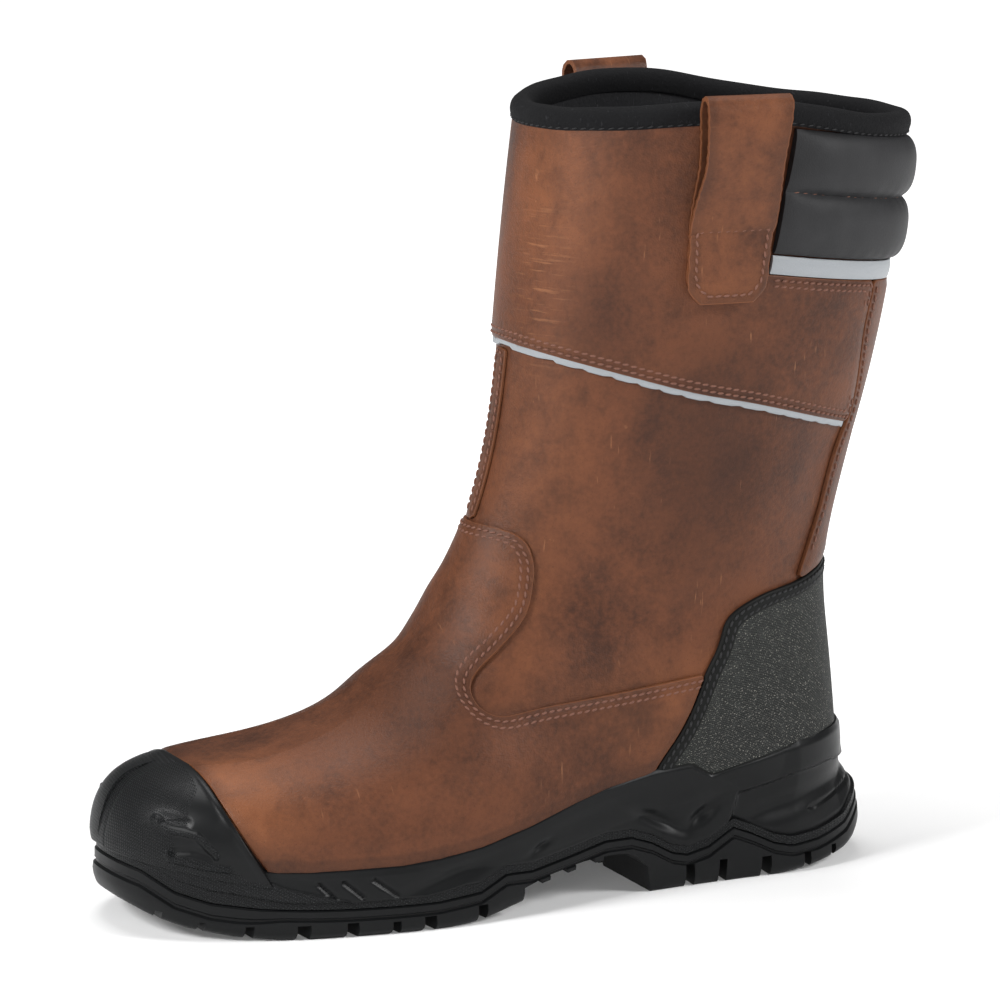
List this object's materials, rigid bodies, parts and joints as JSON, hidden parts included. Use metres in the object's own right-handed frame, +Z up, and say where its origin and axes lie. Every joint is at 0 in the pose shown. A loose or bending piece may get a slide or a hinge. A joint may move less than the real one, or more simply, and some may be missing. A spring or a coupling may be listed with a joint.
{
  "type": "rigger boot",
  "caption": "Pull-on leather rigger boot with calf-high shaft, padded collar back, pull loops, scuff cap, heel counter and moulded cup sole with lugs.",
  "frame": {"origin": "middle of the bounding box in X and Y, on the ground under the sole", "axes": "+X towards the outer (little toe) side, +Y from toe to heel, +Z up the leg"},
  "size_m": [0.1406, 0.3232, 0.2999],
  "materials": {
    "brown_leather": "oiled brown leather, mottled and scuffed",
    "leather_strap": "folded leather strap with cut edges",
    "black_moulding": "black moulded polyurethane, partly textured",
    "black_rubber": "black rubber",
    "coated_fabric": "black coated fabric with a diagonal weave",
    "soft_black": "soft black padding cover",
    "reflective_silver": "grey reflective tape",
    "suede_binding": "black suede",
    "insole_felt": "dark felt"
  },
  "bodies": {
    "root": {"back_stay": "brown_leather", "collar_binding": "suede_binding", "collar_pad": "soft_black", "cuff": "brown_leather", "front_stay": "brown_leather", "heel_counter": "coated_fabric", "insole": "insole_felt", "midsole": "black_moulding", "outsole": "black_rubber", "pull_loop_lateral": "leather_strap", "pull_loop_medial": "leather_strap", "reflective_band": "reflective_silver", "reflective_piping": "reflective_silver", "toe_cap": "black_moulding", "upper": "brown_leather", "vamp": "brown_leather"}
  },
  "joints": []
}
